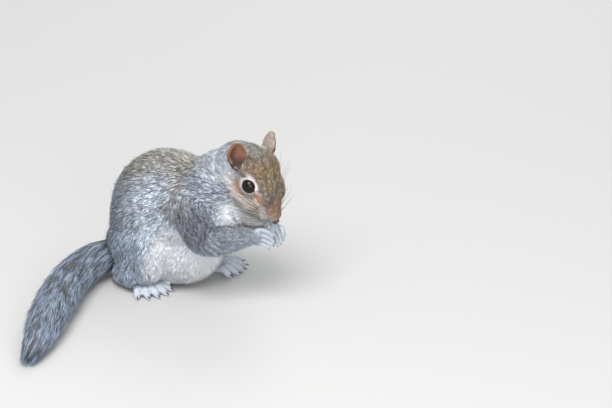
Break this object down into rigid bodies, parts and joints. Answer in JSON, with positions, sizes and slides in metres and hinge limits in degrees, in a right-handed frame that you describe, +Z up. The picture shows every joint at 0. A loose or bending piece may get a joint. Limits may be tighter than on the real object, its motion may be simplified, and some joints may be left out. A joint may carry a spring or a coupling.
{
  "type": "grey squirrel",
  "caption": "Life-size still model of a grey squirrel sitting hunched on its haunches, forepaws held up at its mouth, bushy tail laid along the floor.",
  "frame": {"origin": "on the floor, under the middle of the bounding box", "axes": "+X the way the squirrel's body faces, +Y its left side, +Z up"},
  "size_m": [0.1826, 0.2478, 0.1462],
  "materials": {
    "grey_coat": "short dense fur, grey ticked with pale tips",
    "head_coat": "very short fur, olive brown ticked with black",
    "tail_coat": "long loose hair, grey with pale edges",
    "paw_coat": "very short pale fur",
    "ear_skin": "thin skin with a down of short hair",
    "eye": "wet and glossy",
    "claw": "smooth horn"
  },
  "bodies": {
    "root": {"trunk": "grey_coat", "neck": "grey_coat", "head": "head_coat", "ear_right": "ear_skin", "ear_left": "ear_skin", "eye_right": "eye", "eye_left": "eye", "upper_arm_right": "grey_coat", "upper_arm_left": "grey_coat", "forearm_right": "grey_coat", "forearm_left": "grey_coat", "forepaw_right": "paw_coat", "forepaw_left": "paw_coat", "thigh_right": "grey_coat", "thigh_left": "grey_coat", "lower_leg_right": "grey_coat", "lower_leg_left": "grey_coat", "hind_foot_right": "paw_coat", "hind_foot_left": "paw_coat", "tail_root": "tail_coat", "tail_lower": "tail_coat", "tail_middle": "tail_coat", "tail_tip": "tail_coat"}
  },
  "joints": []
}
